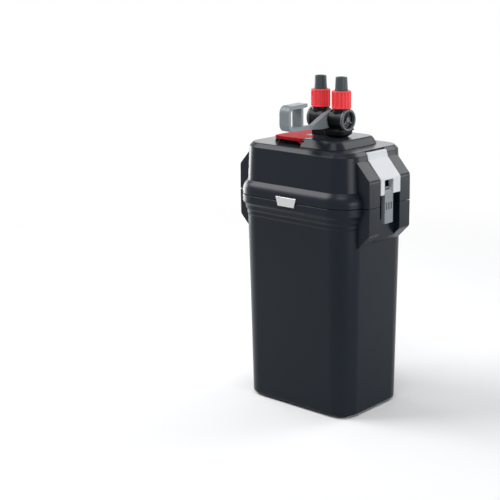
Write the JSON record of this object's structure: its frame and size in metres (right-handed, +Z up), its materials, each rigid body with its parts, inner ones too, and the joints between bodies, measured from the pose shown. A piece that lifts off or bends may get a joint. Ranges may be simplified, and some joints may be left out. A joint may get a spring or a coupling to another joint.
{
  "type": "canister filter",
  "caption": "Tall aquarium canister filter with a motor head, side clamps, priming pull and a hose valve with a lift lever on top.",
  "frame": {"origin": "on the floor under the middle of the canister, 2.5 mm below its flat underside", "axes": "+Z up; +X to the right-hand clamp; -Y is the front, with the badge and the valve lever"},
  "size_m": [0.242, 0.1807, 0.4775],
  "materials": {
    "body": "satin charcoal moulding",
    "dark": "satin black moulding",
    "lever": "smooth near-white moulding",
    "grey": "satin grey moulding",
    "slate": "satin dark grey moulding",
    "red": "glossy red moulding",
    "rubber": "matt black rubber",
    "steel": "bright steel",
    "badge": "bare brushed plate",
    "foam": "open black foam",
    "media": "netted ceramic media",
    "ceramic": "white ceramic and floss",
    "magnet": "dark plastic-bonded magnet",
    "copper": "enamelled copper wire"
  },
  "bodies": {
    "filter_body": {"badge_plate": "badge", "basket_handle": "red", "basket_lid": "slate", "canister_case": "body", "carbon_pouch": "foam", "ceramic_media_bag": "media", "clamp_pin_left": "steel", "clamp_pin_right": "steel", "cord_gland": "rubber", "foam_frame": "slate", "foam_pad": "foam", "head_bulkhead": "dark", "head_housing": "body", "head_platform": "body", "head_screw_1": "steel", "head_screw_2": "steel", "head_screw_3": "steel", "head_screw_4": "steel", "head_seal": "rubber", "hose_connector_left": "slate", "hose_connector_right": "slate", "impeller_cover": "slate", "impeller_shaft": "ceramic", "inlet_pipe": "slate", "media_basket_1": "slate", "media_basket_2": "slate", "media_basket_3": "slate", "motor_can": "dark", "motor_winding": "copper", "outlet_pipe": "slate", "polishing_pad": "ceramic", "primer_cylinder": "slate", "rotor_well": "slate", "rubber_foot_1": "rubber", "rubber_foot_2": "rubber", "rubber_foot_3": "rubber", "rubber_foot_4": "rubber", "shaft_bush_lower": "rubber", "shaft_bush_upper": "rubber", "stator_core": "steel", "valve_barrel_left": "dark", "valve_barrel_right": "dark", "valve_base": "dark", "valve_cap_left": "dark", "valve_cap_right": "dark"},
    "primer": {"primer_handle": "red", "primer_rod": "slate", "primer_piston": "rubber"},
    "impeller": {"impeller_rotor": "magnet", "impeller_wheel": "grey"},
    "valve_lever": {"valve_lever": "grey", "valve_rotor_left": "slate", "valve_rotor_right": "slate"},
    "lock_nut_left": {"lock_nut_left": "red"},
    "clamp_lever_left": {"clamp_lever_left": "lever"},
    "clamp_hook_left": {"clamp_hook_left": "grey"},
    "lock_nut_right": {"lock_nut_right": "red"},
    "clamp_lever_right": {"clamp_lever_right": "lever"},
    "clamp_hook_right": {"clamp_hook_right": "grey"}
  },
  "joints": [
    {"name": "primer_slide", "type": "slide", "parent": "filter_body", "child": "primer", "axis": [0, 0, 1], "range_m": [0, 0.045]},
    {"name": "impeller_spin", "type": "hinge", "parent": "filter_body", "child": "impeller", "pos_m": [-0.045, 0.03, 0.3105], "axis": [0, 0, 1], "continuous": true},
    {"name": "valve_lever_hinge", "type": "hinge", "parent": "filter_body", "child": "valve_lever", "pos_m": [0.014, 0, 0.4172], "axis": [-1, 0, 0], "range_deg": [0, 90]},
    {"name": "lock_nut_left_turn", "type": "hinge", "parent": "filter_body", "child": "lock_nut_left", "pos_m": [-0.005, 0, 0.4335], "axis": [0, 0, 1], "range_deg": [0, 360]},
    {"name": "lock_nut_right_turn", "type": "hinge", "parent": "filter_body", "child": "lock_nut_right", "pos_m": [0.033, 0, 0.4335], "axis": [0, 0, 1], "range_deg": [0, 360]},
    {"name": "clamp_lever_left_hinge", "type": "hinge", "parent": "filter_body", "child": "clamp_lever_left", "pos_m": [-0.09355, 0, 0.3751], "axis": [0, 1, 0], "range_deg": [0, 100]},
    {"name": "clamp_hook_left_hinge", "type": "hinge", "parent": "clamp_lever_left", "child": "clamp_hook_left", "pos_m": [-0.1167, -0.004, 0.3282], "axis": [0, 1, 0], "range_deg": [0, 30]},
    {"name": "clamp_lever_right_hinge", "type": "hinge", "parent": "filter_body", "child": "clamp_lever_right", "pos_m": [0.09355, 0, 0.3751], "axis": [0, -1, 0], "range_deg": [0, 100]},
    {"name": "clamp_hook_right_hinge", "type": "hinge", "parent": "clamp_lever_right", "child": "clamp_hook_right", "pos_m": [0.1167, -0.004, 0.3282], "axis": [0, -1, 0], "range_deg": [0, 30]}
  ]
}
